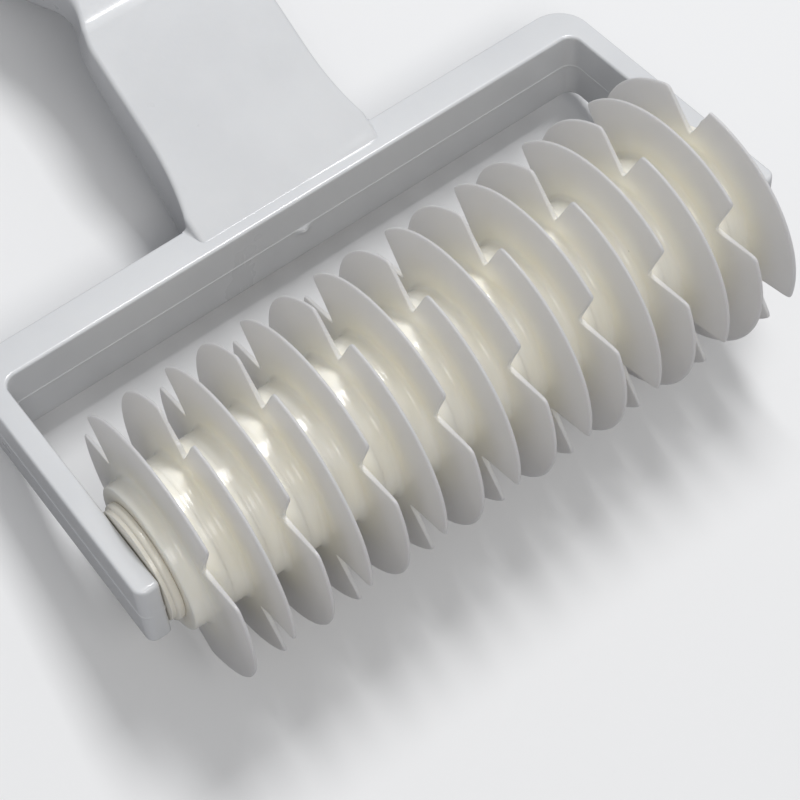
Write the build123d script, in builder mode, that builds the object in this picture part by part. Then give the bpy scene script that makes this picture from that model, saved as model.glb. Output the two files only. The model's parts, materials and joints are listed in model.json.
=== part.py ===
from build123d import *
import math
import os

# Lattice roller cutter: a notched blade roller that turns freely in a one-piece plastic fork.
# Millimetres. +X runs along the roller, +Y from the roller towards the tail of the grip, +Z up.
# The tool lies on a table at z = 0, on its blades and on its tail, and the origin is on the
# table under the middle of the whole tool. Sizes of the fork, neck and grip are given in the
# fork's own plane: along it from the roller's axis, and above it.

# Blade discs
disc_count = 16
disc_radius = 22.0
hub_radius = 12.1
blade_thickness = 0.9
notch_count = 3
notch_floor_radius = 14.6
notch_mouth_width = 8.4
first_notch_angle = 22.5       # degrees up from the fork's plane to a notch of the first disc

# Roller shaft and end collars
hex_flats = 13.0
hex_clearance = 0.1
journal_radius = 3.5
collar_radius = 9.7
collar_length = 1.9
side_play = 0.16
running_clearance = 0.08
socket_depth = 2.6
socket_end_gap = 0.3

# Fork
frame_width = 120.0
frame_depth = 13.8
frame_drop = 0.7               # the fork's middle lies this far below the roller's axis
throat = 36.2                  # roller's axis to the inner face of the cross bar
bar_width = 6.9
arm_width = 3.94
arm_overhang = 8.0             # roller's axis to the tip of each arm
outer_corner_radius = 6.0
inner_corner_radius = 2.2
tip_outer_radius = 2.6
frame_edge = 0.7

# Neck
neck_width = 31.6
neck_root_width = 35.4
neck_root_length = 9.0
neck_lip_run = 1.6
neck_lip_rise = 1.7
neck_rise = 29.0               # degrees, top face
neck_end = 72.3                # roller's axis to the crease where the grip begins
neck_heel = 2.1                # the underside leaves the bar this far behind it
neck_under_rise = 43.0         # degrees, underside
neck_wall_setback = 2.8         # the underside turns up to the crease this far before it
neck_tip_setback = 0.9
neck_tip_thickness = 3.6
neck_edge_radius = 1.5
neck_flare_steps = 4

# Grip
grip_width = 36.4
grip_waist_width = 27.6
grip_thickness = 19.5
grip_front_thickness = 7.0
grip_step = 0.7                # the grip's top line starts this far above the neck's top
grip_front_sink = 1.7          # the grip's buried front lies this far under its top line
grip_line_length = 92.0
grip_start_angle = 27.0        # degrees, its top line at the neck
grip_end_angle = -9.0          # degrees, its top line at the tail
grip_section_count = 15
tail_width = 31.0
tail_radius = 8.6
tail_turn = 180                 # degrees the ball end takes to close the grip
hang_hole_radius = 4.0
hang_hole_margin = 13.0        # tail tip to the middle of the hole

# Places along the grip, as shares of its top line from the neck to the tail
front_share = -0.06
sink_end_share = 0.02
waist_share = 0.05
chin_share = 0.21
shoulder_share = 0.32
swell_share = 0.50
corner_share = 0.42            # corner radius of a section over its thickness


def along(point, length, angle):
    """A point at a length and an angle in degrees from another in the side view."""
    turn = math.radians(angle)
    return (point[0] + length * math.cos(turn), point[1] + length * math.sin(turn))


def ray(angle):
    """Direction at an angle in degrees in the side view."""
    return along((0, 0), 1, angle)


def eased(share, start, end):
    """Nought before start, one after end, with a smooth S between them."""
    t = min(max((share - start) / (end - start), 0), 1)
    return t * t * (3 - 2 * t)


def height_at(corners, place):
    """Height of a broken line through corners of the side view, at a place along the fork."""
    for before, after in zip(corners, corners[1:]):
        if place <= after[0]:
            break
    return before[1] + (place - before[0]) * (after[1] - before[1]) / (after[0] - before[0])


# Places along the roller
arm_outer_x = frame_width / 2
arm_inner_x = arm_outer_x - arm_width
roller_half = arm_inner_x - side_play - collar_length
blade_pitch = 2 * roller_half / disc_count
journal_end_x = arm_inner_x + socket_depth - socket_end_gap

# Heights and corners in the side view, measured from the roller's axis
frame_top = frame_depth / 2 - frame_drop
frame_bottom = -frame_depth / 2 - frame_drop
bar_back = throat + bar_width
lip_foot = (throat + frame_edge, frame_top)
lip_top = (lip_foot[0] + neck_lip_run, frame_top + neck_lip_rise)
crease = (neck_end, lip_top[1] + (neck_end - lip_top[0]) * math.tan(math.radians(neck_rise)))
heel = (bar_back + neck_heel, frame_bottom)
wall_foot_run = neck_end - neck_wall_setback - heel[0]
wall_foot = (heel[0] + wall_foot_run, heel[1] + wall_foot_run * math.tan(math.radians(neck_under_rise)))
tip_top = along(crease, -neck_tip_setback, neck_rise)
tip_foot = (tip_top[0], tip_top[1] - neck_tip_thickness)
grip_turn = grip_start_angle - grip_end_angle
grip_line_radius = grip_line_length / math.radians(grip_turn)
grip_line_centre = along((crease[0], crease[1] + grip_step), -grip_line_radius, grip_start_angle + 90)


def under_top_line(share, depth):
    """A point at a share of the grip's top line, at a depth below it, and the line's angle."""
    angle = grip_start_angle - share * grip_turn
    return along(grip_line_centre, grip_line_radius - depth, angle + 90), angle


# Lying on its blades and its tail, the fork dips towards the grip by this many degrees
tail_centre = under_top_line(1, tail_radius)[0]
tail_distance = math.hypot(tail_centre[0], tail_centre[1])
tail_elevation = math.degrees(math.atan2(tail_centre[1], tail_centre[0]))
rest_pitch = tail_elevation + math.degrees(math.asin((disc_radius - tail_radius) / tail_distance))
dip_sin = math.sin(math.radians(rest_pitch))
dip_cos = math.cos(math.radians(rest_pitch))
tail_reach = tail_centre[0] * dip_cos + tail_centre[1] * dip_sin + tail_radius
axle = Vector(0, (disc_radius - tail_reach) / 2, disc_radius)

# Plane of the fork with the roller's axis as its x, and plane of the tool's side view
fork = Plane(origin=axle, x_dir=(1, 0, 0), z_dir=(0, dip_sin, dip_cos))
side = Plane(origin=axle, x_dir=(0, dip_cos, -dip_sin), z_dir=(1, 0, 0))


def section_plane(middle, angle):
    """Plane across the tool at a point of the side view, square to a direction of it."""
    lean = side.from_local_coords(Vector(*ray(angle))) - side.origin
    return Plane(origin=side.from_local_coords(Vector(*middle)), x_dir=(1, 0, 0), z_dir=-lean)


os.makedirs("parts", exist_ok=True)


def save(part, name):
    """Label a finished piece and write it to its own file."""
    part.label = name
    export_step(part, "parts/" + name + ".step")
    print(name, round(part.volume, 1))


# Blade discs: a hub one pitch long with a thin blade, three V notches and a hexagon bore
def blade_disc(middle_x, turn):
    """One moulded disc at a place along the roller, turned about the axis by an angle."""
    mouth_radius = disc_radius + blade_pitch
    overrun = (mouth_radius - notch_floor_radius) / (disc_radius - notch_floor_radius)
    mouth_half = notch_mouth_width / 2 * overrun
    with BuildPart() as disc:
        with BuildSketch(side.offset(middle_x - blade_pitch / 2)):
            Circle(hub_radius)
        extrude(amount=blade_pitch)
        with BuildSketch(side.offset(middle_x - blade_thickness / 2)):
            Circle(disc_radius)
            with PolarLocations(0, notch_count, start_angle=turn):
                Polygon(
                    (notch_floor_radius, 0),
                    (mouth_radius, mouth_half),
                    (mouth_radius, -mouth_half),
                    align=None,
                    mode=Mode.SUBTRACT,
                )
        extrude(amount=blade_thickness)
        with BuildSketch(side.offset(middle_x - blade_pitch / 2)):
            RegularPolygon(hex_flats / 2 + hex_clearance, 6, major_radius=False, rotation=turn)
        extrude(amount=blade_pitch, mode=Mode.SUBTRACT)
    return disc


half_turn_of_notches = 180 / notch_count
for number in range(disc_count):
    disc_middle_x = (number + 0.5) * blade_pitch - roller_half
    disc_turn = first_notch_angle + (number % 2) * half_turn_of_notches
    save(blade_disc(disc_middle_x, disc_turn).part, "blade_disc_%02d" % (number + 1))

# Roller shaft: a hexagon bar through all the discs with a round journal at each end
with BuildPart() as roller_shaft:
    with BuildSketch(side):
        RegularPolygon(hex_flats / 2, 6, major_radius=False, rotation=first_notch_angle)
    extrude(amount=roller_half + collar_length, both=True)
    with BuildSketch(side):
        Circle(journal_radius)
    extrude(amount=journal_end_x, both=True)
save(roller_shaft.part, "roller_shaft")


# End collars: a short ring between the last disc and the arm
def end_collar(sign):
    """The collar at one end of the roller."""
    with BuildPart() as collar:
        with BuildSketch(side.offset(sign * roller_half)):
            Circle(collar_radius)
            RegularPolygon(
                hex_flats / 2 + hex_clearance,
                6,
                major_radius=False,
                rotation=first_notch_angle,
                mode=Mode.SUBTRACT,
            )
        extrude(amount=sign * collar_length)
    return collar


save(end_collar(-1).part, "end_collar_left")
save(end_collar(1).part, "end_collar_right")


# Fork: a flat U with rounded corners
with BuildPart() as fork_body:
    with BuildSketch(fork.offset(frame_bottom)) as fork_outline:
        with Locations((0, (bar_back - arm_overhang) / 2)):
            Rectangle(frame_width, bar_back + arm_overhang)
        fillet(fork_outline.vertices().group_by(Axis.Y)[-1], radius=outer_corner_radius)
        with Locations((0, throat - bar_back)):
            Rectangle(2 * arm_inner_x, 2 * bar_back, mode=Mode.SUBTRACT)
        inner_corners = [v for v in fork_outline.vertices() if abs(v.Y - throat) < frame_edge]
        fillet([v for v in inner_corners if abs(v.X) < arm_outer_x - frame_edge], radius=inner_corner_radius)
        tips = fork_outline.vertices().group_by(Axis.Y)[0].sort_by(Axis.X)
        fillet([tips[0], tips[-1]], radius=tip_outer_radius)
    extrude(amount=frame_depth)
    through = Axis(axle, fork.z_dir)
    rims = fork_body.edges().group_by(through)[0] + fork_body.edges().group_by(through)[-1]
    chamfer(rims, length=frame_edge)

# Neck: a ruled loft of upright rounded sections, a wedge that flares where it leaves the cross bar
neck_top_line = (lip_foot, lip_top, tip_top)
neck_underside = ((lip_foot[0], frame_bottom), heel, wall_foot, tip_foot)
flare_places = [bar_back + neck_root_length * step / neck_flare_steps for step in range(neck_flare_steps + 1)]
neck_corner_places = [corner[0] for corner in neck_top_line + neck_underside[1:-1]]
with BuildPart() as neck:
    for place in sorted(neck_corner_places + flare_places):
        top = height_at(neck_top_line, place)
        bottom = height_at(neck_underside, place)
        narrowing = eased(place, flare_places[0], flare_places[-1])
        width = neck_root_width - narrowing * (neck_root_width - neck_width)
        with BuildSketch(section_plane((place, (top + bottom) / 2), 0)):
            RectangleRounded(width, top - bottom, neck_edge_radius)
    loft(ruled=True)


# Grip: a ruled loft of close rounded sections under an arched top line, with a ball-ended tail
def grip_section(share):
    """Plane, width and thickness of the grip at a share of its top line."""
    widen = eased(share, waist_share, shoulder_share)
    thicken = eased(share, front_share, chin_share) ** 2
    taper = eased(share, swell_share, 1)
    width = grip_waist_width + widen * (grip_width - grip_waist_width) - taper * (grip_width - tail_width)
    gain = grip_thickness - grip_front_thickness
    thickness = grip_front_thickness + thicken * gain - taper * (grip_thickness - 2 * tail_radius)
    sink = grip_front_sink * (1 - eased(share, front_share, sink_end_share))
    middle, angle = under_top_line(share, thickness / 2 + sink)
    return section_plane(middle, angle), width, thickness


with BuildPart() as grip:
    for number in range(grip_section_count):
        section_share = front_share + (1 - front_share) * number / (grip_section_count - 1)
        plane, width, thickness = grip_section(section_share)
        with BuildSketch(plane):
            RectangleRounded(width, thickness, thickness * corner_share)
    loft(ruled=True)
    with BuildSketch(plane):
        RectangleRounded(width, thickness, thickness * corner_share)
        with Locations((0, -width)):
            Rectangle(2 * width, 2 * width, mode=Mode.SUBTRACT)
    revolve(axis=Axis(plane.origin, -plane.x_dir), revolution_arc=tail_turn)

# The whole moulding: fork, neck and grip, with a blind socket in each arm and a hanging hole
with BuildPart() as frame_handle:
    add(fork_body.part)
    add(neck.part)
    add(grip.part)
    for socket_plane, reach in ((side.offset(arm_inner_x), 1), (side.offset(-arm_inner_x), -1)):
        with BuildSketch(socket_plane):
            Circle(journal_radius + running_clearance)
        extrude(amount=reach * socket_depth, mode=Mode.SUBTRACT)
    hole_share = 1 - (hang_hole_margin - tail_radius) / grip_line_length
    hole_point, hole_angle = under_top_line(hole_share, tail_radius)
    with BuildSketch(section_plane(hole_point, hole_angle - 90)):
        Circle(hang_hole_radius)
    extrude(amount=grip_thickness, both=True, mode=Mode.SUBTRACT)
save(frame_handle.part, "frame_handle")
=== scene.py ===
# %% [markdown]
# A lattice roller cutter is a baker's tool: a white plastic fork with a grip holds a roller
# of thin notched blades, and rolling it over dough slits the dough into a net. The packed
# CAD model is loaded first. It fixes where everything is, so every piece made here only has
# to follow the same sizes.

# %% Load the CAD parts and their joints
import json
import math

import bmesh
import bpy
import numpy as np
from mathutils import Euler, Matrix, Vector


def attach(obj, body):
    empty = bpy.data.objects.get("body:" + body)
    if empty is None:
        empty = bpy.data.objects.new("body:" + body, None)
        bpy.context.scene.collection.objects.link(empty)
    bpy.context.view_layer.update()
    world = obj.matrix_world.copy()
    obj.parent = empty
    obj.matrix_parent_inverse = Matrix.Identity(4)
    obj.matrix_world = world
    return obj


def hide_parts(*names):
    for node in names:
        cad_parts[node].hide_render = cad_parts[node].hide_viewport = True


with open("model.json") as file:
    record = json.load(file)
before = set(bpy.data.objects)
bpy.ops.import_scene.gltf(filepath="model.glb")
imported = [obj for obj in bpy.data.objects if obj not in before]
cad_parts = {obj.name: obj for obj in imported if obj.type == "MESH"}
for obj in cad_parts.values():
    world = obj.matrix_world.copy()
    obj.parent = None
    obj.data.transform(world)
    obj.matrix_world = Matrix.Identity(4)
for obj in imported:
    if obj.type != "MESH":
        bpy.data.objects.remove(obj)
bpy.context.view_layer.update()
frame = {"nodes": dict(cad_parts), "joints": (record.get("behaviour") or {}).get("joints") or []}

# %% [markdown]
# The tool lies on its blades and on the tail of its grip, so the fork dips towards the grip.
# The shapes could be made level and turned afterwards, but a finished piece has to lie
# unturned at the origin. So the tilt goes into the points. Every shape is thought out in the
# fork's own axes, x along the roller, y from the roller towards the grip and z out of the
# fork, in millimetres, and one function turns such points into the scene's metres. The
# tool's sizes, in capitals below, are in these millimetres too.

# %% The fork's own axes
AXLE = np.array(frame["joints"][0]["pos_m"])
DIP = math.radians(16.324929)
MILLIMETRE = 0.001
FORK_X = np.array([1.0, 0.0, 0.0])
FORK_Y = np.array([0.0, math.cos(DIP), -math.sin(DIP)])
FORK_Z = np.array([0.0, math.sin(DIP), math.cos(DIP)])


def placed(points):
    """Fork millimetres to scene metres: the axle plus x along X, y along the fork, z out of it."""
    p = np.asarray(points, float) * MILLIMETRE
    return AXLE + p[..., :1] * FORK_X + p[..., 1:2] * FORK_Y + p[..., 2:3] * FORK_Z


print("bar's middle is at", placed([0, 39.65, -0.7]).round(4))

# %% [markdown]
# Most pieces here are skins: rings of points, one after the other along the piece, with
# every ring joined to the next. Modifiers on simple blocks could give such forms too, but a
# formula for the rings says exactly where each point lies. Numpy works out all rings at
# once, and the face list is only arithmetic on row and column numbers. Points that fall
# together are then merged, which closes poles and seams, and Blender turns all faces
# outwards.

# %% From points and faces to a piece
SAME_POINT, NO_LENGTH = 2e-6, 1e-7


def strips(numbers, along=False):
    """Quads between neighbouring entries of a table of point numbers. Each row closes on
    itself, and the last row joins the first if asked."""
    table = np.hstack([numbers, numbers[:, :1]])
    if along:
        table = np.vstack([table, table[:1]])
    corners = [table[:-1, :-1], table[:-1, 1:], table[1:, 1:], table[1:, :-1]]
    return np.stack(corners, -1).reshape(-1, 4)


def fan(pole, ring):
    """Triangles from one point to every side of a ring."""
    return np.stack([np.full(len(ring), pole), ring, np.roll(ring, 1)], -1)


def build(name, points, faces, body, smooth_angle=35.0):
    """A closed, smooth-shaded piece from points and tables of faces, riding a body."""
    polygons = [corners for table in faces for corners in table.tolist()]
    mesh = bpy.data.meshes.new(name)
    mesh.from_pydata(points.tolist(), [], polygons)
    work = bmesh.new()
    work.from_mesh(mesh)
    bmesh.ops.remove_doubles(work, verts=work.verts, dist=SAME_POINT)
    bmesh.ops.dissolve_degenerate(work, edges=work.edges, dist=NO_LENGTH)
    bmesh.ops.recalc_face_normals(work, faces=work.faces)
    open_edges = sum(not edge.is_manifold for edge in work.edges)
    work.to_mesh(mesh)
    work.free()
    mesh.shade_smooth()
    mesh.set_sharp_from_angle(angle=math.radians(smooth_angle))
    piece = bpy.data.objects.new(name, mesh)
    bpy.context.scene.collection.objects.link(piece)
    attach(piece, body)
    print(name, len(mesh.polygons), "faces,", open_edges, "open edges")
    return piece


def skin(name, rings, body, looped=False):
    """A piece through rings[i, j]: j runs round a ring, i along the piece. Open ends are closed
    with a fan to the ring's mean point."""
    rows, count = rings.shape[:2]
    numbers = np.arange(rows * count).reshape(rows, count)
    points, faces = rings.reshape(-1, 3), [strips(numbers, along=looped)]
    if not looped:
        points = np.vstack([points, rings[0].mean(0), rings[-1].mean(0)])
        faces += [fan(rows * count, numbers[0]), fan(rows * count + 1, numbers[-1])]
    return build(name, points, faces, body)


print("points closer than", SAME_POINT, "m will be merged")

# %% [markdown]
# Small curves come back everywhere: an S that eases from nought to one, a soft minimum and
# maximum that join two curves with a rounded corner instead of a sharp one, and the way a
# rounded end draws in. Moulded plastic has hardly a sharp corner, so they do much work.

# %% Easing curves
def eased(value, start, end):
    """Nought before start, one after end, 3t^2 - 2t^3 between."""
    t = np.clip((np.asarray(value, float) - start) / (end - start), 0, 1)
    return t * t * (3 - 2 * t)


def soft_min(a, b, width):
    """The lower of a and b, rounded off by a cubic where they differ by less than width."""
    overlap = np.maximum(width - np.abs(a - b), 0) / width
    return np.minimum(a, b) - width * overlap ** 3 / 6


def soft_max(a, b, width):
    """The higher of a and b, rounded off in the same way."""
    return -soft_min(-a, -b, width)


def drawn_in(from_end, radius):
    """How far a rounded end draws in, at a distance from its tip: r - sqrt(r^2 - (r - d)^2)."""
    d = np.clip(from_end, 0, radius)
    return radius - np.sqrt(np.maximum(radius ** 2 - (radius - d) ** 2, 0))


print("the S is at", eased(0.25, 0, 1), "after a quarter, a soft minimum of 1 and 1 is",
      soft_min(1.0, 1.0, 0.6))

# %% [markdown]
# The blade disc is the piece that makes this tool. Each one is moulded with its own length
# of hub: a fin that tapers from a soft root to a rim half a millimetre thick, with three
# V notches. Cutting the notches with a Boolean would leave ragged faces. Here a disc is a
# profile carried round the axle, and the notches only change how far out the fin reaches at
# each angle, so the profile is stretched, not cut.

# %% Sizes of a blade disc
PITCH, DISCS = 6.75, 16
RIM, HUB, BORE = 22.0, 12.1, 8.0
THIRD = 2 * math.pi / 3
NOTCH_FLOOR, NOTCH_HALF, NOTCH_SLOPE = 14.5, math.radians(11.0), math.radians(31.0)
FIRST_NOTCH = math.radians(22.5)
FLOOR_ROUND, FLOOR_SHIFT, MOUTH_ROUND, STEEPEST = 0.022, 0.014, 2.2, 0.2


def reach(angle):
    """How far out the fin goes at an angle: the rim, or inside a notch the straight side of
    the V, whose polar equation is floor * sin(slope) / sin(slope - offset). The offset is the
    angle from the notch's middle, with a hyperbola in its place to round the floor."""
    offset = np.abs((angle - FIRST_NOTCH + THIRD / 2) % THIRD - THIRD / 2)
    offset = np.sqrt(offset ** 2 + FLOOR_ROUND ** 2) - FLOOR_SHIFT
    side = NOTCH_FLOOR * math.sin(NOTCH_SLOPE) / np.sin(np.maximum(NOTCH_SLOPE - offset, STEEPEST))
    return soft_min(side, RIM, MOUTH_ROUND)


print("a notch goes down to", reach(FIRST_NOTCH).round(2), "mm from the axle, the rim is at", RIM)

# %% [markdown]
# Points are placed where the shape changes fast: every half degree in a notch and only
# every degree and a half along the plain rim. One third of the round is worked out and
# repeated three times.

# %% Angles round a disc
MARGIN = NOTCH_HALF * 1.15
near_notch = np.linspace(-MARGIN, MARGIN, 53)
plain_rim = np.linspace(MARGIN, THIRD - MARGIN, 64)[1:-1]
third_round = np.concatenate([near_notch, plain_rim])
angles = np.concatenate([FIRST_NOTCH + k * THIRD + third_round for k in range(3)])
print(len(angles), "angles round a disc, fin reaches from", reach(angles).min().round(2), "to",
      reach(angles).max().round(2))

# %% [markdown]
# A disc is the same on both sides, so half a profile is enough. It starts in the bore,
# climbs the flat end of the hub and turns over the hub's edge. Where two hubs meet, these
# edges are all but sharp, and only a hairline shows between them. At the two ends of the
# roller the edge is free and rounded off. Along the hub the surface is a trace fuller in
# the middle, which is what bends the reflections in each gap.

# %% Profile of a hub
HUB_END = PITCH / 2 - 0.0012
CHAMFER, EDGE_STEP, BELLY, FREE_EDGE = 0.005, 0.010, 0.03, 0.35
ROOT_ROUND, ROOT_HALF, RIM_HALF = 0.95, 0.50, 0.25


def hub_profile(free):
    """x and radius of half a hub, from the bore to the fin's root. The edge is a tiny chamfer
    and a fine step, or a quarter circle on a free end. The hub's own line is its radius less
    the belly, plus the belly times half a sine wave."""
    face_x, face_r = [HUB_END, HUB_END, HUB_END], [BORE, 9.9, 11.2]
    if free:
        t = np.linspace(0, math.pi / 2, 5)
        edge_x = HUB_END - FREE_EDGE + FREE_EDGE * np.cos(t)
        edge_r = HUB - BELLY - FREE_EDGE + FREE_EDGE * np.sin(t)
    else:
        low = HUB - EDGE_STEP
        edge_x = [HUB_END, HUB_END - CHAMFER, HUB_END - 0.03, HUB_END - 0.28, HUB_END - 0.42]
        edge_r = [low - CHAMFER, low, low, low, HUB - EDGE_STEP / 3]
    along_x = np.linspace(HUB_END - 0.66, ROOT_HALF + ROOT_ROUND + 0.06, 6)
    along_r = HUB - BELLY + BELLY * np.sin(np.linspace(0, math.pi, 6))
    return np.concatenate([face_x, edge_x, along_x]), np.concatenate([face_r, edge_r, along_r])


print("half a hub has", len(hub_profile(False)[0]), "points")

# %% [markdown]
# The fin stands on the hub with a hollow root, because melt flows badly round a sharp inner
# corner, and thins towards its rim so that it leaves the mould. Here and there the mould has
# left a burr on the rim. A displacement texture could make burrs too, but a small bell curve
# added to the reach puts each one where it is.

# %% Profile of a fin
def fin_reach(turn, burrs):
    """Reach at every angle, plus a bell curve for each burr of angle, height and width."""
    out = reach(angles)
    for place, height, width in burrs:
        apart = (angles + turn - math.radians(place) + math.pi) % (2 * math.pi) - math.pi
        out = out + height * np.exp(-(apart / math.radians(width)) ** 2)
    return out[:, None]


def fin_profile(out):
    """x and radius of half a fin, one row for each angle. The root is a hollow quarter circle.
    The half thickness grows with the depth below the rim, to the power of 1.5, and the rim is
    a quarter circle of half its thickness."""
    bend = np.linspace(0, math.pi / 2, 9)
    root_x = ROOT_HALF + ROOT_ROUND - ROOT_ROUND * np.sin(bend)
    root_r = HUB + ROOT_ROUND - ROOT_ROUND * np.cos(bend) - BELLY
    start = root_r[-1]
    flank_r = start + (out - RIM_HALF - start) * np.linspace(0, 1, 12)[None, 1:]
    depth = np.clip((RIM - flank_r) / (RIM - start), 0, 1)
    flank_x = RIM_HALF + (ROOT_HALF - RIM_HALF) * depth ** 1.5
    tip = np.linspace(0, math.pi / 2, 5)[None, 1:]
    tip_x, tip_r = flank_x[:, -1:] * np.cos(tip), out - RIM_HALF + RIM_HALF * np.sin(tip)
    root_x, root_r = [np.tile(line, (len(out), 1)) for line in (root_x, root_r)]
    return np.hstack([root_x, flank_x, tip_x]), np.hstack([root_r, flank_r, tip_r])


print("half a fin has", fin_profile(fin_reach(0, []))[0].shape[1], "points at each angle")

# %% [markdown]
# All discs come from one mould, so they come from one function. One mesh used sixteen times
# would do for a picture, but a finished piece carries its place in its own mesh. The same
# disc is used in two turns, 60 degrees apart, which is what staggers the slits in the dough.

# %% The sixteen blade discs
STAGGER = math.pi / 3
BURRS = {1: [(-101.5, 0.35, 0.8)], 2: [(79.0, 0.5, 0.9)], 16: [(90.5, 0.35, 0.7), (94.5, 0.3, 0.5)]}
FREE_SIDE = {1: -1, DISCS: 1}


def disc_rings(number):
    """Rings round one disc: hub and fin from the bore to the rim on the side of +x, then their
    mirror image back to the bore, turned with radius times cosine and sine of the angle."""
    middle = (number - 0.5 - DISCS / 2) * PITCH
    turn = (number + 1) % 2 * STAGGER
    fin_x, fin_r = fin_profile(fin_reach(turn, BURRS.get(number, [])))
    x, r = [], []
    for side in (1, -1):
        hub_x, hub_r = hub_profile(side == FREE_SIDE.get(number))
        x.append(side * np.hstack([np.tile(hub_x, (len(angles), 1)), fin_x]))
        r.append(np.hstack([np.tile(hub_r, (len(angles), 1)), fin_r]))
    x, r = [np.hstack([line[0], line[1][:, -2::-1]]) for line in (x, r)]
    a = (angles + turn)[:, None]
    return placed(np.stack([middle + x, r * np.cos(a), r * np.sin(a)], -1))


roller_pieces = []
for number in range(1, DISCS + 1):
    disc = skin("fin_%02d" % number, disc_rings(number), "roller", looped=True)
    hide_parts("blade_disc_%02d" % number)
    roller_pieces.append(disc)

# %% [markdown]
# Between the last hub and each arm sits a short collar with a stepped outer edge and a flat
# end. It is a plain lathe shape. Blender's Screw modifier turns a profile too, but the rings
# of the skins above do it without one: a closed profile of x and radius goes round the axle.

# %% End collars
def lathe_rings(profile, count=120):
    """Rings of a profile of x and radius turned round the axle."""
    turn = np.linspace(0, 2 * math.pi, count, endpoint=False)[:, None]
    x, r = profile.T
    return placed(np.stack([x + 0 * turn, r * np.cos(turn), r * np.sin(turn)], -1))


def rounded(x, r, radius, start, end, count):
    """Points of an arc about (x, r), angles in degrees from the axle's direction."""
    t = np.radians(np.linspace(start, end, count))
    return np.stack([x + radius * np.cos(t), r + radius * np.sin(t)], -1)


hub_face = [(54.01, 5.0), (54.01, 9.2)]
first_edge = rounded(54.2, 9.47, 0.19, 180, 95, 5)
shoulder = np.vstack([[(54.6, 9.68)], rounded(54.85, 9.23, 0.45, 85, 12, 8),
                      [(55.36, 9.16), (55.5, 9.13)]])
second_edge = rounded(55.84, 8.96, 0.16, 90, 0, 4)
arm_face = [(56.0, 8.3), (56.04, 8.2), (56.04, 5.0)]
collar_profile = np.vstack([hub_face, first_edge, shoulder, second_edge, arm_face])
for sign, name in ((-1, "left"), (1, "right")):
    collar = skin("collar_" + name, lathe_rings(collar_profile * [sign, 1]), "roller", looped=True)
    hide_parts("end_collar_" + name)
    roller_pieces.append(collar)

# %% [markdown]
# The fork is a flat U. It could be a block with its middle cut out and its edges bevelled,
# but its thin arms, thick bar and two kinds of corner would each want another bevel. So its
# inner and outer outlines are worked out point by point along the same path, and a rounded
# rectangle is stretched between them.

# %% Outlines of the fork
ARM_OUT, ARM_IN, TIP, THROAT, BACK = 60.0, 56.06, -8.0, 36.2, 43.1
CORNER_OUT, CORNER_IN, TIP_OUT, TIP_IN = 6.0, 2.2, 1.7, 0.7


def edge_line(side, back, corner):
    """One outline from the bar's middle to near the arm's tip: straight, a quarter circle and
    straight again. The first points lie close, because the nub needs them."""
    bar = np.concatenate([np.linspace(0, 0.05, 12), np.linspace(0.05, 1, 28)[1:]])[:, None]
    t = np.linspace(0, math.pi / 2, 15)[1:, None]
    arm = np.linspace(0, 1, 14)[1:, None]
    return np.vstack([
        bar * [side - corner, 0] + [0, back],
        np.hstack([side - corner + corner * np.sin(t), back - corner + corner * np.cos(t)]),
        [side, back - corner] + arm * [0, TIP + TIP_OUT - back + corner]])


def half_outlines():
    """Outer and inner outline of the right half. Both end in a quarter circle at the tip."""
    t = np.linspace(0, math.pi / 2, 14)[1:, None]
    y = TIP + TIP_OUT - TIP_OUT * np.sin(t)
    outer_end = np.hstack([ARM_OUT - TIP_OUT + TIP_OUT * np.cos(t), y])
    inner_end = np.hstack([ARM_IN + drawn_in(y - TIP, TIP_IN), y])
    return (np.vstack([edge_line(ARM_OUT, BACK, CORNER_OUT), outer_end]),
            np.vstack([edge_line(ARM_IN, THROAT, CORNER_IN), inner_end]))


outer_line, inner_line = [np.vstack([half[:0:-1] * [-1, 1], half]) for half in half_outlines()]
print(len(outer_line), "stations along the fork")

# %% [markdown]
# A moulded part has a fine line where the two halves of the mould met, so the section's
# sides carry a narrow ridge at half their height. The spot where the melt came in has left a
# small nub in the middle of the bar's inner side. Both are real relief and not bump, so the
# meshes hold them even without their materials.

# %% Section of the fork
TOP, BOTTOM = 6.2, -7.6
MIDDLE, DEPTH = (TOP + BOTTOM) / 2, (TOP - BOTTOM) / 2
EDGE_ROUND, RIDGE, RIDGE_HALF, TIP_DRAW = 0.55, 0.12, 0.17, 0.8
NUB_X, NUB_Z, NUB_WIDE, NUB_HIGH, NUB_OUT = -0.4, -0.55, 1.1, 0.6, 0.75
MOST_INSET = 0.45


def fork_side():
    """Inset from the outline and height over the middle, going up one side: a quarter circle,
    the side and a quarter circle. The side lies as deep inside the outline as the ridge is
    high, and the ridge is 1.6 - height / half width, held between nought and one."""
    t = np.linspace(0, math.pi / 2, 7)
    z = np.concatenate([np.linspace(-5, -1.4, 6), np.linspace(-1.2, -0.45, 4),
                        np.linspace(-0.36, 0.36, 13),
                        np.linspace(0.45, 1.2, 4), np.linspace(1.4, 5, 6)])
    ridge = RIDGE * np.clip(1.6 - np.abs(z) / RIDGE_HALF, 0, 1)
    inset = np.concatenate([RIDGE + EDGE_ROUND - EDGE_ROUND * np.sin(t), RIDGE - ridge,
                            RIDGE + EDGE_ROUND - EDGE_ROUND * np.cos(t)])
    height = np.concatenate([-DEPTH + EDGE_ROUND - EDGE_ROUND * np.cos(t), z,
                             DEPTH - EDGE_ROUND + EDGE_ROUND * np.sin(t)])
    return inset, height


def nub(height):
    """How far the nub stands out of the bar's inner side: a bell curve in x and height."""
    place = ((inner_line[:, :1] - NUB_X) / NUB_WIDE) ** 2 + ((height - NUB_Z) / NUB_HIGH) ** 2
    return NUB_OUT * np.exp(-place) * (inner_line[:, 1:] > THROAT - 0.1)


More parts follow.
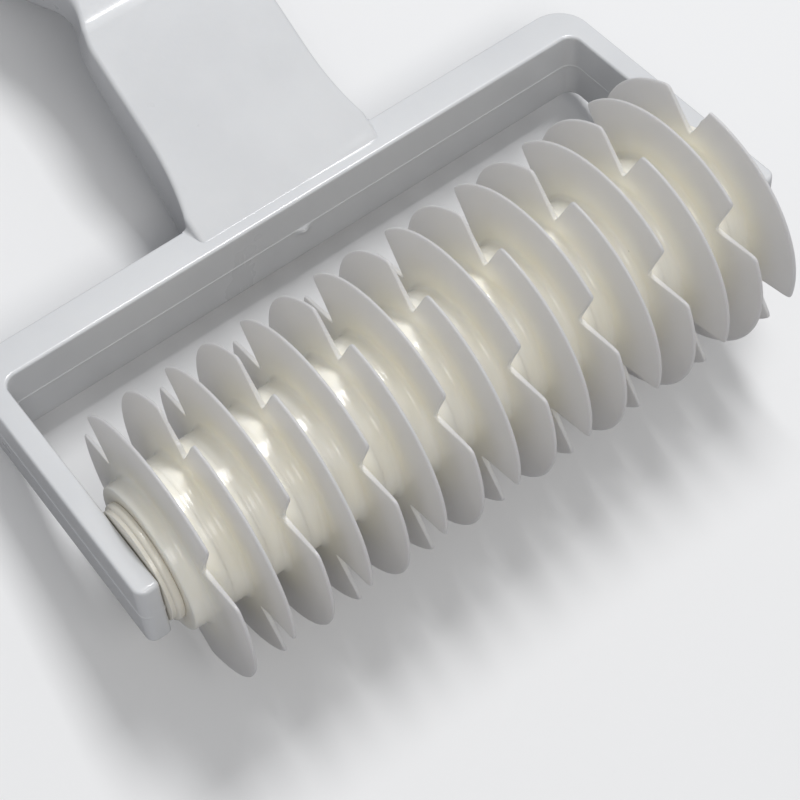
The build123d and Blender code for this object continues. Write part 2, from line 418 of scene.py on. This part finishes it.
def fork_rings():
    """Rounded rectangles between the two outlines: a ring goes up the outer side, over the top
    edges and down the inner side. Each point moves by its inset along the line that joins
    the outlines, and the tips draw in from above and below."""
    inset, height = fork_side()
    on_outer = np.arange(2 * len(inset)) < len(inset)
    inset, height = [np.concatenate([line, line[::-1]])[None] for line in (inset, height)]
    across = np.linalg.norm(outer_line - inner_line, axis=1)[:, None]
    unit = (outer_line - inner_line) / across
    start = np.where(on_outer[None, :, None], outer_line[:, None], inner_line[:, None])
    shift = np.minimum(inset - nub(height) * ~on_outer, across * MOST_INSET)
    plan = start + unit[:, None] * (np.where(on_outer, -1.0, 1.0) * shift)[..., None]
    flat_share = 1 - drawn_in(outer_line[:, 1:] - TIP, TIP_DRAW) / DEPTH
    return placed(np.concatenate([plan, (height * flat_share + MIDDLE)[..., None]], -1))


fork = skin("fork", fork_rings(), "frame")
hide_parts("frame_handle")
frame_pieces = [fork]

# %% [markdown]
# Neck and grip are one arched body that grows out of the bar. It hangs between two lines of
# the side view, a top line and an underside line, so for every place along the tool there is
# a top point, an underside point and a half width. The neck starts at the bar's inner edge
# with a flat step of nearly 2 mm and then climbs at 31 degrees. Behind a faint crease the
# grip's top line is a circular arc.

# %% The lines that neck and grip hang between
CREASE_Y, CREASE_Z, CREASE_SINK = 72.3, 26.64, 0.7
FOOT_Y, FOOT_Z, FOOT_SLOPE = 36.95, 6.1, 0.05
NECK_CLIMB, NECK_BOTTOM = math.tan(math.radians(31.3)), BOTTOM + 0.06
UNDER_Y, UNDER_CLIMB, UNDER_ROUND, UNDER_LEAD = 45.2, 0.905, 1.6, 3.6
ROLL_HIGH, ROLL_S, ROLL_WIDE = 0.05, 0.3, 0.55
NECK_THICK, PALM_THICKER, TAIL_THINNER, UNDER_DROP = 7.0, 12.5, 2.33, 1.7
LINE_LENGTH, START_ANGLE, END_ANGLE = 92.0, 27.0, -9.0
LINE_RADIUS = LINE_LENGTH / math.radians(START_ANGLE - END_ANGLE)
ARC_CENTRE = np.array([CREASE_Y + LINE_RADIUS * math.sin(math.radians(START_ANGLE)),
                       CREASE_Z + CREASE_SINK - LINE_RADIUS * math.cos(math.radians(START_ANGLE))])


def crease_roll(s):
    """Height of a faint roll along the crease: a bell curve just behind it."""
    return ROLL_HIGH * np.exp(-((s - ROLL_S) / ROLL_WIDE) ** 2)


def neck_lines(s):
    """Top and underside of the neck: y is the crease less the distance. The top is the higher
    of a climbing line and the flat step. The underside is level and then climbs, and leads
    forward near the crease to meet the grip's."""
    y = CREASE_Y + np.minimum(s, 0)
    climb = CREASE_Z - (CREASE_Y - y) * NECK_CLIMB
    top = soft_max(climb, FOOT_Z + (y - FOOT_Y) * FOOT_SLOPE, 0.02) + crease_roll(s)
    y_under = y + UNDER_LEAD * eased(s, -14, 0)
    under = soft_max(NECK_BOTTOM + (y_under - UNDER_Y) * UNDER_CLIMB, NECK_BOTTOM, UNDER_ROUND)
    return np.stack([y, top], -1), np.stack([y_under, under], -1)


def grip_lines(s):
    """Top and underside of the grip: the arc's centre plus its radius, less the sink behind
    the crease or the thickness, times a direction that turns evenly along the grip. The
    thickness is the neck's, plus the palm's swell, less the thinning of the tail."""
    share = np.clip(s, 0, LINE_LENGTH) / LINE_LENGTH
    angle = np.radians(START_ANGLE) - share * np.radians(START_ANGLE - END_ANGLE)
    out = np.stack([-np.sin(angle), np.cos(angle)], -1)
    sink = CREASE_SINK * (1 - eased(s, 0, 11)) - crease_roll(s)
    thickness = (NECK_THICK + PALM_THICKER * eased(share, -0.06, 0.21) ** 2
                 - TAIL_THINNER * eased(share, 0.5, 1.0))
    under_radius = LINE_RADIUS - UNDER_DROP * (1 - eased(share, -0.06, 0.02)) - thickness
    return (ARC_CENTRE + (LINE_RADIUS - sink)[..., None] * out,
            ARC_CENTRE + under_radius[..., None] * out)


def top_and_underside(s):
    """Side-view points of both lines at s, in millimetres from the crease: the neck is
    negative, the grip runs along its arc. Also the direction from underside to top."""
    top, bottom = [np.where((s >= 0)[..., None], grip, neck)
                   for grip, neck in zip(grip_lines(s), neck_lines(s))]
    up = (top - bottom) / np.linalg.norm(top - bottom, axis=-1, keepdims=True)
    return top, bottom, up


print("grip's arc has a radius of", round(LINE_RADIUS, 1), "mm, its top line ends at",
      top_and_underside(np.array([LINE_LENGTH]))[0][0].round(1))

# %% [markdown]
# Seen from above, the neck flares where it meets the bar, has a slight waist behind the
# crease, swells to a hand's breadth and tapers to the tail. One number for each of these,
# eased in and out, is simpler to read and to change than a row of measured widths.

# %% Width of neck and grip
NECK_HALF, FLARE, FLARE_LENGTH = 15.75, 1.95, 13.0
WAIST, SWELL, TAPER = 1.95, 4.4, 2.7


def half_width(s):
    """Half width at s: the neck's, plus a hollow flare at the bar, less the waist, plus the
    swell of the grip, less the taper of its tail."""
    share = s / LINE_LENGTH
    flare = FLARE * np.clip(1 - (CREASE_Y + s - BACK) / FLARE_LENGTH, 0, 1) ** 2.3
    return (NECK_HALF + flare - WAIST * eased(s, -3.6, 4.6) + SWELL * eased(share, 0.05, 0.32)
            - TAPER * eased(share, 0.50, 1.0))


print("half widths at the bar, the waist, the palm and the tail are",
      half_width(np.array([BACK - CREASE_Y, 4.6, 40.0, LINE_LENGTH])).round(2))

# %% [markdown]
# The hanging hole could be cut with a Boolean, which would leave long thin faces on the
# curved tail. Here it is part of the same grid. Round it, the grid's squares are pushed into
# circles: a square ring of points moves onto the circle of the same size, and the push fades
# out over the next rings.

# %% Grid of neck and grip
FLAT = 24
HOLE_S, HOLE_RADIUS, HOLE_LIP = 87.6, 4.0, 0.55
CELL, HOLE_CELLS, FADE_CELLS = 0.72, 6, 10
TAIL_RADIUS = 8.6


def flat_columns(level):
    """Columns across the flat top or underside: place, nought, one and level."""
    return np.stack(np.broadcast_arrays(level * np.linspace(-1, 1, FLAT + 1), 0, 1, level), -1)


def corner_columns(side, level, turn):
    """Columns of one rounded corner: side, cosine and sine of the quarter turn, and level."""
    return np.stack(np.broadcast_arrays(side, side * np.cos(turn), np.sin(turn), level), -1)


quarter = np.linspace(0, math.pi / 2, 9)
columns = np.vstack([
    flat_columns(1), corner_columns(1, 1, quarter[-2::-1]), corner_columns(1, -1, quarter[:-1]),
    flat_columns(-1), corner_columns(-1, -1, quarter[-2::-1]), corner_columns(-1, 1, quarter[:-1])])
MIDDLE_TOP = FLAT // 2
MIDDLE_LOW = MIDDLE_TOP + len(columns) // 2
hole_start, hole_end = HOLE_S - CELL * FADE_CELLS, HOLE_S + CELL * FADE_CELLS
neck_y = np.concatenate([np.linspace(FOOT_Y, 41, 22), np.linspace(41, 64, 34)[1:],
                         np.linspace(64, CREASE_Y, 20)[1:-1]])
grip_s = np.concatenate([np.linspace(0, 3, 11), np.linspace(3, 30, 24)[1:],
                         np.linspace(30, hole_start, 34)[1:-1]])
hole_s = HOLE_S + CELL * np.arange(-FADE_CELLS, FADE_CELLS + 1)
tail_s = np.linspace(hole_end, LINE_LENGTH + TAIL_RADIUS * math.pi / 2, 12)[1:]
stations = np.concatenate([neck_y - CREASE_Y, grip_s, hole_s, tail_s])
hole_row = len(neck_y) + len(grip_s) + FADE_CELLS
print(len(stations), "stations by", len(columns), "columns")

# %% [markdown]
# Each row of the grid is a rounded section between the two lines. The neck's top isn't
# quite flat: plastic shrinks as it cools, so it is dished by a sixth of a millimetre in soft
# waves, and they are what makes the reflections wander. The fold at the neck's foot fills up
# softly towards the right. The tail is made by folding: what lies past the last section
# swings round it.

# %% Points of neck and grip
SIDE_ROUND, GRIP_ROUND, UNDER_STRETCH = 0.9, 0.42, 1.133
DISH_DEEP, WAVE, WAVE_X, WANDER, SIDE_X = 0.16, 3.4, 6.5, 9.0, 15.5
FILLING_HIGH, FILLING_WIDE, FOLD_Y = 0.13, 0.9, 38.7
side, turn_x, turn_z, level = columns.T
is_flat = np.isclose(turn_x, 0) & np.isclose(turn_z, 1)
on_top = is_flat & (level > 0)


def section(s):
    """Middle point, direction up, height, corner radius and x of every grid point at s. The
    corner radius grows from the neck's to a share of the height, later on the underside."""
    top, bottom, up = top_and_underside(s)
    height = np.linalg.norm(top - bottom, axis=-1)
    growth = eased(s, np.where(level > 0, 1.0, 0.0), np.where(level > 0, 15.0, 36.0))
    radius = SIDE_ROUND + (GRIP_ROUND * height - SIDE_ROUND) * growth
    x = side * (half_width(np.minimum(s, LINE_LENGTH)) - radius) + turn_x * radius
    return (top + bottom) / 2, up, height, radius, x


def round_hole(x, s, row, cell_x):
    """Push the grid round the hole: square rings of cells become circles of the same size. The
    underside's arc is tighter, so there s is stretched to cover the same length."""
    stretch = np.where(level > 0, 1.0, UNDER_STRETCH)
    across, along = x / cell_x, np.broadcast_to(row - hole_row, x.shape).astype(float)
    square, circle = np.maximum(np.abs(across), np.abs(along)), np.hypot(across, along) + 1e-9
    size = (HOLE_RADIUS + HOLE_LIP) / HOLE_CELLS * square / circle
    push = 1 - eased(square, HOLE_CELLS + 0.4, FADE_CELLS)
    return x + push * (across * size - x), s + push * (HOLE_S + along * size * stretch - s)


def dish(x, s):
    """Depth of the dished top, eased in up the neck and out behind the crease, times a slow
    wave across that wanders along, fading to nought at the sides with x to the fourth."""
    ripple = 0.5 + 0.5 * np.cos((x + WAVE_X + 2.0 * np.sin(s / WANDER)) / WAVE)
    depth = DISH_DEEP * eased(s, -34, -18) * (1 - eased(s, 2, 12))
    return depth * (1 - ripple) * (1 - (x / SIDE_X) ** 4)


def filling(x, s):
    """Height of what fills the fold at the neck's foot: a bell curve along y, eased in
    towards the right side, where it also lies a little further back."""
    right_part = eased(x, 2, SIDE_X)
    from_fold = CREASE_Y + s - FOLD_Y - 0.5 * right_part
    return FILLING_HIGH * right_part * np.exp(-(from_fold / FILLING_WIDE) ** 2)


def handle_grid():
    """Points of neck and grip, row by row. Past the last section a point at height h over the
    middle swings forward: h cos(fold) stays height, |h| sin(fold) goes along the line."""
    row = np.arange(len(stations))[:, None]
    s = stations[:, None] + 0 * side
    x = section(s)[-1]
    cell_x = (x[hole_row, FLAT] - x[hole_row, 0]) / FLAT
    bent_x, bent_s = round_hole(x, s, row, cell_x)
    s = np.where(is_flat, bent_s, s)
    middle, up, height, radius, x = section(s)
    x = np.where(is_flat, bent_x, x)
    relief = height / 2 - radius + turn_z * radius - dish(x, s) * on_top + filling(x, s) * on_top
    h = level * relief
    fold = np.clip((s - LINE_LENGTH) / TAIL_RADIUS, 0, math.pi / 2)
    forward = np.stack([up[..., 1], -up[..., 0]], -1)
    side_view = (middle + up * (h * np.cos(fold))[..., None]
                 + forward * (np.abs(h) * np.sin(fold))[..., None])
    return np.concatenate([x[..., None], side_view], -1)


grid = handle_grid()
print("grip is", np.ptp(grid[..., 0]).round(1), "mm wide and reaches to y", grid[..., 1].max().round(1))

# %% [markdown]
# The squares of the grid inside the hole are left out, and a tube with rounded lips joins
# the loop of points round the top opening to the one round the underside's. Its rings have
# as many points as those loops, so nothing has to be stitched by hand.

# %% Hanging hole
def inside_hole(quads):
    """True for the grid's squares that the hole takes away on the top and on the underside."""
    row, column = np.divmod(quads[:, 0], len(columns))
    in_rows = (row >= hole_row - HOLE_CELLS) & (row < hole_row + HOLE_CELLS)
    in_top, in_low = [(column >= middle - HOLE_CELLS) & (column < middle + HOLE_CELLS)
                      for middle in (MIDDLE_TOP, MIDDLE_LOW)]
    return in_rows & (in_top | in_low)


def hole_loop():
    """Rows and columns of the square loop round the hole, counted from its middle."""
    k = np.arange(-HOLE_CELLS, HOLE_CELLS)
    edge = HOLE_CELLS + 0 * k
    return np.concatenate([-edge, k, edge, -k]), np.concatenate([k, edge, -k, -edge])


def hole_tube(along, across):
    """Rings of the hole's wall: quarter circle, straight, quarter circle. Each ring is the
    centre plus radius times cosine across and sine along the grip, less its depth."""
    angle = math.radians(START_ANGLE - HOLE_S / LINE_LENGTH * (START_ANGLE - END_ANGLE))
    out = np.array([-math.sin(angle), math.cos(angle)])
    forward = np.array([math.cos(angle), math.sin(angle)])
    centre = ARC_CENTRE + LINE_RADIUS * out
    deep = (grid[hole_row, MIDDLE_TOP, 1:] - grid[hole_row, MIDDLE_LOW, 1:]) @ out
    t = np.linspace(0, math.pi / 2, 5)[1:]
    lip_r, lip_d = HOLE_RADIUS + HOLE_LIP - HOLE_LIP * np.sin(t), HOLE_LIP - HOLE_LIP * np.cos(t)
    radii = np.concatenate([lip_r, lip_r[::-1]])[:, None]
    depths = np.concatenate([lip_d, deep - lip_d[::-1]])[:, None]
    turn = np.arctan2(along, across)
    side_view = centre + forward * (np.sin(turn) * radii)[..., None] - out * depths[..., None]
    return np.concatenate([(np.cos(turn) * radii)[..., None], side_view], -1)


along, across = hole_loop()
tube = hole_tube(along, across)
print("hole's wall has", tube.shape[0], "rings of", tube.shape[1], "points")

# %% [markdown]
# Where the neck stands on the bar, the mould has a hollow fillet on either side. A Bevel on
# the joint would need the two bodies merged first. A strip with a quarter-circle hollow,
# carried along the edge of the neck's foot, needs nothing of the kind. It starts from
# nothing where the neck's rounded edge leaves the bar, never stands higher than the upright
# part of the neck's side, and ends level with the bar's back.

# %% Hollow fillets at the neck's foot
FILLET_START, FILLET_END, FILLET_LEAST, FILLET_SIZE = 39.7, 42.85, 0.05, 1.0
FILLET_BASE, FILLET_SEAT, FILLET_INNER = 5.5, 6.16, 0.5
FLANK_ROUND, FLANK_SEAT = 0.78, 0.04


def foot_fillet(side):
    """Rings along the bar: an inner corner inside the neck, then the hollow quarter circle
    from the neck's flank down to the bar's top. Its size follows the upright height of the
    flank, softly held between the least and the full size."""
    y = np.linspace(FILLET_START, FILLET_END, 24)[:, None]
    upright = top_and_underside(y - CREASE_Y)[0][..., 1] - FLANK_ROUND - TOP
    size = soft_min(soft_max(upright, FILLET_LEAST, 0.3), FILLET_SIZE, 0.4)
    t = np.linspace(0, math.pi / 2, 9)[None]
    wall, base = half_width(y - CREASE_Y) - FLANK_SEAT, FILLET_BASE + 0 * y
    inner = wall - FILLET_INNER
    x = np.hstack([inner, inner, wall + size * (1 - np.cos(t)), wall + size])
    z = np.hstack([base, FILLET_SEAT + size, FILLET_SEAT + size * (1 - np.sin(t)), base])
    return placed(np.stack([side * x, y + 0 * x, z], -1))


for sign, name in ((-1, "foot_fillet_left"), (1, "foot_fillet_right")):
    fillet = skin(name, foot_fillet(sign), "frame")
    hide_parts("frame_handle")
    frame_pieces.append(fillet)

# %% [markdown]
# Now grid and tube become one closed piece. The first row is closed with a fan, which lies
# inside the bar, and the last row folds flat on itself, where merging close points seals it.
# Fewer degrees are shaded smooth here than elsewhere, so the crease stays a line.

# %% Build neck and grip
CREASE_SHARP = 25.0


def handle_faces():
    """Points and faces of the grid without the hole's squares, the fan and the tube."""
    numbers = np.arange(grid[..., 0].size).reshape(grid.shape[:2])
    tube_numbers = numbers.size + np.arange(tube[..., 0].size).reshape(tube.shape[:2])
    top_loop = numbers[hole_row + along, MIDDLE_TOP + across]
    low_loop = numbers[hole_row + along, MIDDLE_LOW - across]
    quads = strips(numbers)
    points = np.vstack([grid.reshape(-1, 3), tube.reshape(-1, 3), grid[0].mean(0)])
    faces = [quads[~inside_hole(quads)], fan(len(points) - 1, numbers[0]),
             strips(np.vstack([top_loop, tube_numbers, low_loop]))]
    return placed(points), faces


grip = build("neck_and_grip", *handle_faces(), "frame", smooth_angle=CREASE_SHARP)
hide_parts("frame_handle")
frame_pieces.append(grip)

# %% [markdown]
# Shader maths reads best as ordinary expressions. This class wraps one socket of a shader
# node, and its operators add the Math nodes, so 0.24 + flow * 0.10 is two nodes and their
# links. Every other node comes from the function below it.

# %% A socket that can be calculated with
class Value:
    """One output socket of a material's node tree. Operators add Math nodes."""

    def __init__(self, tree, socket):
        self.tree, self.socket = tree, socket

    def _math(self, operation, *values):
        return node(self.tree, "ShaderNodeMath", {"operation": operation}, dict(enumerate(values)))

    def __add__(self, other):
        return self._math("ADD", self, other)

    def __radd__(self, other):
        return self._math("ADD", other, self)

    def __sub__(self, other):
        return self._math("SUBTRACT", self, other)

    def __rsub__(self, other):
        return self._math("SUBTRACT", other, self)

    def __mul__(self, other):
        return self._math("MULTIPLY", self, other)

    def __rmul__(self, other):
        return self._math("MULTIPLY", other, self)

    def step(self, start, end):
        """Nought below start, one above end, smooth between."""
        return node(self.tree, "ShaderNodeMapRange", {"interpolation_type": "SMOOTHSTEP"},
                    {"Value": self, "From Min": start, "From Max": end, "To Min": 0.0, "To Max": 1.0})


def feed(tree, target, values):
    """Fills a node's input sockets: a Value is linked, anything else is set."""
    for socket, value in values.items():
        if isinstance(value, Value):
            tree.links.new(value.socket, target.inputs[socket])
        else:
            target.inputs[socket].default_value = value


def node(tree, kind, settings, inputs, output=0):
    """Adds a node of that kind, sets its settings, then fills its sockets with values or links."""
    made = tree.nodes.new(kind)
    for key, value in settings.items():
        setattr(made, key, value)
    feed(tree, made, inputs)
    return Value(tree, made.outputs[output])


print("sockets can now be added, subtracted, multiplied and stepped")

# %% [markdown]
# A few patterns come back in every finish. They read Object coordinates, which are metres
# here and stay with the piece when it turns. Specks are tiny dots in the middle of Voronoi
# cells, in a share of the cells only. Image textures could show all this too, but a pattern
# that is worked out has no seams and no limit of resolution.

# %% Patterns and materials
def mix(tree, factor, first, second):
    """A colour between two, by a factor."""
    return node(tree, "ShaderNodeMix", {"data_type": "RGBA"}, {0: factor, 6: first, 7: second},
                output=2)


def vector(tree, operation, *values, output=0):
    """Vector Math on vectors. Output 1 is the one that gives a number."""
    return node(tree, "ShaderNodeVectorMath", {"operation": operation}, dict(enumerate(values)), output)


def stretched(tree, where, scale, rotation=(0.0, 0.0, 0.0)):
    """The place with its axes scaled and turned, which draws a pattern out into streaks."""
    return node(tree, "ShaderNodeMapping", {}, {"Vector": where, "Scale": scale, "Rotation": rotation})


def noise(tree, where, scale, detail=3.0, roughness=0.5):
    """Smooth noise of a size given by scale, in waves per metre, round about one half."""
    return node(tree, "ShaderNodeTexNoise", {},
                {"Vector": where, "Scale": scale, "Detail": detail, "Roughness": roughness})


def specks(tree, where, scale, size, share):
    """One on a few tiny dots: near the middle of a cell, and only where the cell's random red
    is among the highest of the given share."""
    cells = {"Vector": where, "Scale": scale}
    near, tone = [node(tree, "ShaderNodeTexVoronoi", {"feature": "F1"}, cells, output)
                  for output in (0, 1)]
    chance = vector(tree, "DOT_PRODUCT", tone, (1.0, 0.0, 0.0), output=1)
    return (1.0 - near.step(size * 0.5, size)) * chance.step(1 - share, 1.001 - share)


def bump(tree, strength, distance, height):
    """A shading normal that follows a height, as deep as the distance in metres."""
    return node(tree, "ShaderNodeBump", {},
                {"Strength": strength, "Distance": distance, "Height": height})


def new_material(name):
    """A material with one Principled shader: material, tree, shader and the place in metres."""
    material = bpy.data.materials.new(name)
    material.use_nodes = True
    tree = material.node_tree
    where = node(tree, "ShaderNodeTexCoord", {}, {}, output=3)
    print("new material", name)
    return material, tree, tree.nodes["Principled BSDF"], where


# %% [markdown]
# The fork is a cool white plastic, moulded in one shot and a little glossy. Up close it is
# never one flat white: the melt leaves broad faint flow marks, handling leaves fine hairline
# scuffs, a few dark specks are caught in it, and a very shallow orange peel breaks up
# the reflections. What is the same all over, such as the coat, is set on the shader itself.

# %% White moulded plastic
WHITE_DEEP, WHITE_LIGHT = (0.678, 0.690, 0.710, 1), (0.712, 0.724, 0.742, 1)
SCUFF, CAUGHT_DIRT = (0.77, 0.77, 0.77, 1), (0.25, 0.23, 0.20, 1)

white, tree, shader, where = new_material("white_moulded_plastic")
flow = noise(tree, where, 45.0, 4.0, 0.55)
scratched = stretched(tree, where, (9.0, 1.0, 1.0), (0.0, 0.0, 0.5))
scuffs = noise(tree, scratched, 260.0, 5.0, 0.7).step(0.60, 0.72)
peel = noise(tree, where, 900.0, 2.0)
tint = mix(tree, flow.step(0.35, 0.68), WHITE_DEEP, WHITE_LIGHT)
tint = mix(tree, scuffs * 0.14, tint, SCUFF)
tint = mix(tree, specks(tree, where, 110.0, 0.022, 0.22) * 0.6, tint, CAUGHT_DIRT)
feed(tree, shader, {
    "Base Color": tint, "Roughness": 0.24 + flow * 0.10 + scuffs * 0.12,
    "Normal": bump(tree, 0.12, 0.0002, peel * 0.6 + flow * 1.6 + scuffs * 0.15),
    "IOR": 1.49, "Coat Weight": 0.4, "Coat Roughness": 0.10, "Subsurface Weight": 0.10,
    "Subsurface Radius": (1.0, 0.9, 0.8), "Subsurface Scale": 0.0012})
print(white.name, "has", len(tree.nodes), "nodes")

# %% [markdown]
# The blades are another plastic, milky and waxy. Light goes into it, so thick parts look warm
# cream and the thin fins look paler and greyer. The lighter rim is a painted glow, and the
# collars' deeper tone is painted shade from the arms. Each could have a material of its own,
# but a disc is one moulding. The distance from the axle, in metres, tells thick from thin, so
# the colour follows it.

# %% Milky blade plastic
CREAM_DEEP, CREAM = (0.966, 0.932, 0.822, 1), (0.978, 0.956, 0.868, 1)
PALE_DEEP, PALE = (0.889, 0.888, 0.908, 1), (0.912, 0.911, 0.930, 1)
# The collars' deeper cream is painted shade, standing for the shade of the arms.
COLLAR_PAINTED_SHADE, RIM_PAINTED_GLOW = (0.86, 0.82, 0.72, 1), (0.90, 0.89, 0.94, 1)
CAUGHT_CRUMB = (0.12, 0.10, 0.08, 1)

milky, tree, shader, where = new_material("milky_blade_plastic")
from_axle = vector(tree, "SUBTRACT", where, tuple(AXLE))
radius = vector(tree, "LENGTH", vector(tree, "MULTIPLY", from_axle, (0.0, 1.0, 1.0)), output=1)
# The rim mask marks the thin edge that gets a painted glow.
fin, rim = radius.step(0.0123, 0.0195), radius.step(0.0211, 0.0219)
# Painted shade: inside this radius the collars take the deeper cream.
collar_shade_mask = 1.0 - radius.step(0.0098, 0.0112)
cloud = noise(tree, where, 120.0, 4.0, 0.55)
streak = noise(tree, stretched(tree, where, (14.0, 1.0, 1.0)), 130.0, 3.0, 0.6)
fine = noise(tree, where, 1400.0, 2.0)
thick_tint = mix(tree, cloud.step(0.35, 0.7), CREAM_DEEP, CREAM)
thin_tint = mix(tree, cloud.step(0.3, 0.7), PALE_DEEP, PALE)
tint = mix(tree, collar_shade_mask, mix(tree, fin, thick_tint, thin_tint), COLLAR_PAINTED_SHADE)
# Painted glow: the thin rim is lightened towards a pale lilac.
tint = mix(tree, rim * 0.6, tint, RIM_PAINTED_GLOW)
tint = mix(tree, specks(tree, where, 130.0, 0.030, 0.16) * 0.75, tint, CAUGHT_CRUMB)
feed(tree, shader, {
    "Base Color": tint, "Roughness": 0.26 + cloud * 0.10 + fin * 0.12,
    "Normal": bump(tree, 0.10, 0.0002, cloud * 2.0 + fine * 0.3 + streak * 1.2),
    "IOR": 1.50, "Coat Weight": 0.5 - fin * 0.2, "Coat Roughness": 0.08, "Subsurface Weight": 0.3,
    "Subsurface Radius": (1.0, 0.92, 0.78), "Subsurface Scale": 0.0016})
print(milky.name, "has", len(tree.nodes), "nodes")

# %% [markdown]
# A fin is thin enough for light to come out on its other side. Real transmission would need
# glass-like rays and much time. A Translucent shader does it at once, and the share of it
# follows the same distance from the axle as the colour, so the hub lets none through.

# %% Light through the fins
THROUGH_SHARE = 0.5
through = node(tree, "ShaderNodeBsdfTranslucent", {}, {"Color": (0.94, 0.93, 0.91, 1)})
surface = node(tree, "ShaderNodeMixShader", {},
               {0: fin * THROUGH_SHARE, 1: Value(tree, shader.outputs[0]), 2: through})
feed(tree, tree.nodes["Material Output"], {"Surface": surface})
print("the share of translucent shader at a rim is", THROUGH_SHARE)

# %% [markdown]
# The shaft can only be glimpsed between a collar and an arm. Its CAD shape is right as it
# is, so it stays and gets the same kind of plastic, a shade deeper.

# %% Shaft plastic
SHAFT_DEEP, SHAFT_LIGHT = (0.70, 0.66, 0.54, 1), (0.78, 0.74, 0.62, 1)
shaft_plastic, tree, shader, where = new_material("shaft_plastic")
grain = noise(tree, where, 300.0, 3.0)
feed(tree, shader, {"Base Color": mix(tree, grain, SHAFT_DEEP, SHAFT_LIGHT),
                    "Roughness": 0.40 + grain * 0.1, "Normal": bump(tree, 0.1, 0.0001, grain)})
print(shaft_plastic.name, "has", len(tree.nodes), "nodes")

# %% [markdown]
# The tool is two mouldings put together, so its finish is given by body: the roller's
# pieces are milky and the frame's white. The CAD solids behind them get the finish of what
# stands for them, and the shaft its own.

# %% Give every piece its finish
def finish_with(piece, material):
    """Makes the material the piece's only one."""
    piece.data.materials.clear()
    piece.data.materials.append(material)


for piece in roller_pieces:
    finish_with(piece, milky)
for piece in frame_pieces:
    finish_with(piece, white)
solid_finish = {"frame_handle": white, "roller_shaft": shaft_plastic}
for name, solid in frame["nodes"].items():
    finish_with(solid, solid_finish.get(name, milky))
print(len(roller_pieces + frame_pieces), "pieces and", len(frame["nodes"]), "solids have their finish")

# %% [markdown]
# The studio is a large plain floor. A curved backdrop isn't needed, because the camera looks
# down and sees nothing but floor behind the tool. It has to look nearly white, but a white
# floor throws much light up under the blades. So the camera's own rays see the pale colour,
# and all other light meets a mid grey.

# %% Floor
FLOOR_HALF = 4.0
FLOOR_GREY, FLOOR_PALE = (0.42, 0.42, 0.43, 1), (0.86, 0.865, 0.875, 1)
floor_corners = np.array([(-1, -1, 0), (1, -1, 0), (1, 1, 0), (-1, 1, 0)]) * FLOOR_HALF
floor_mesh = bpy.data.meshes.new("studio_floor")
floor_mesh.from_pydata(floor_corners.tolist(), [], [(0, 1, 2, 3)])
floor = bpy.data.objects.new("studio_floor", floor_mesh)
bpy.context.scene.collection.objects.link(floor)
pale_floor, tree, shader, _ = new_material("pale_floor")
by_camera = node(tree, "ShaderNodeLightPath", {}, {}, output=0)
feed(tree, shader, {"Base Color": mix(tree, by_camera, FLOOR_GREY, FLOOR_PALE),
                    "Roughness": 0.9, "Specular IOR Level": 0.2})
finish_with(floor, pale_floor)
print("floor is", 2 * FLOOR_HALF, "m square")

# %% [markdown]
# The photograph has one main light behind and above the tool, a weaker, warmer one in front,
# and an even sky. A small strong lamp would draw hard shadows. Rectangles as large as
# softboxes give soft ones, and their shape is what the glints on the hubs and the fork
# mirror.

# %% Light
def soft_lamp(name, place, aim, width, length, power, tint=(1.0, 1.0, 1.0)):
    """A flat lamp at a place that shines at a point, its long side lying along Y. Its axes are
    the direction back to the lamp, Y less its part along that, and their cross product."""
    data = bpy.data.lights.new(name, "AREA")
    data.shape, data.size, data.size_y = "RECTANGLE", width, length
    data.energy, data.color = power, tint
    lamp = bpy.data.objects.new(name, data)
    bpy.context.scene.collection.objects.link(lamp)
    back = (Vector(place) - Vector(aim)).normalized()
    upright = (Vector((0, 1, 0)) - Vector((0, 1, 0)).dot(back) * back).normalized()
    turn = Matrix((upright.cross(back), upright, back)).transposed()
    lamp.location, lamp.rotation_euler = place, turn.to_euler()
    print(name, "shines with", power, "W")


LIT_POINT = (0.0, -0.02, 0.02)
soft_lamp("overhead_softbox", (0.27, 0.31, 0.88), LIT_POINT, 0.24, 0.34, 5.15)
soft_lamp("front_fill", (-0.13, -0.52, 0.88), LIT_POINT, 0.6, 0.36, 2.4, (1.0, 0.975, 0.945))
world = bpy.data.worlds.new("studio_sky")
world.use_nodes = True
feed(world.node_tree, world.node_tree.nodes["Background"],
     {"Color": (0.95, 0.97, 1.0, 1), "Strength": 0.34})
bpy.context.scene.world = world

# %% [markdown]
# The camera stands where the photograph was taken from. Its place, turn and lens were
# fitted so that the fork's edges and the blades' rims fall where the photograph shows them.
# The tool lies off the middle of the wider view, and the lens shift moves the frame there
# without changing the perspective.

# %% Camera
camera_data = bpy.data.cameras.new("camera")
camera_data.sensor_width = 36.0
camera_data.lens = 92.968
camera_data.shift_x, camera_data.shift_y = 0.19493, -0.25583
camera_data.clip_start, camera_data.clip_end = 0.01, 20.0
camera = bpy.data.objects.new("camera", camera_data)
bpy.context.scene.collection.objects.link(camera)
camera.location = (-0.106199, -0.147238, 0.310463)
camera.rotation_euler = Euler([math.radians(a) for a in (27.1813, -2.9358, -35.1473)], "XYZ")
bpy.context.scene.camera = camera
bpy.context.scene.view_settings.view_transform = "Standard"
print("camera is", round((camera.location - Vector(AXLE)).length, 3), "m from the axle")
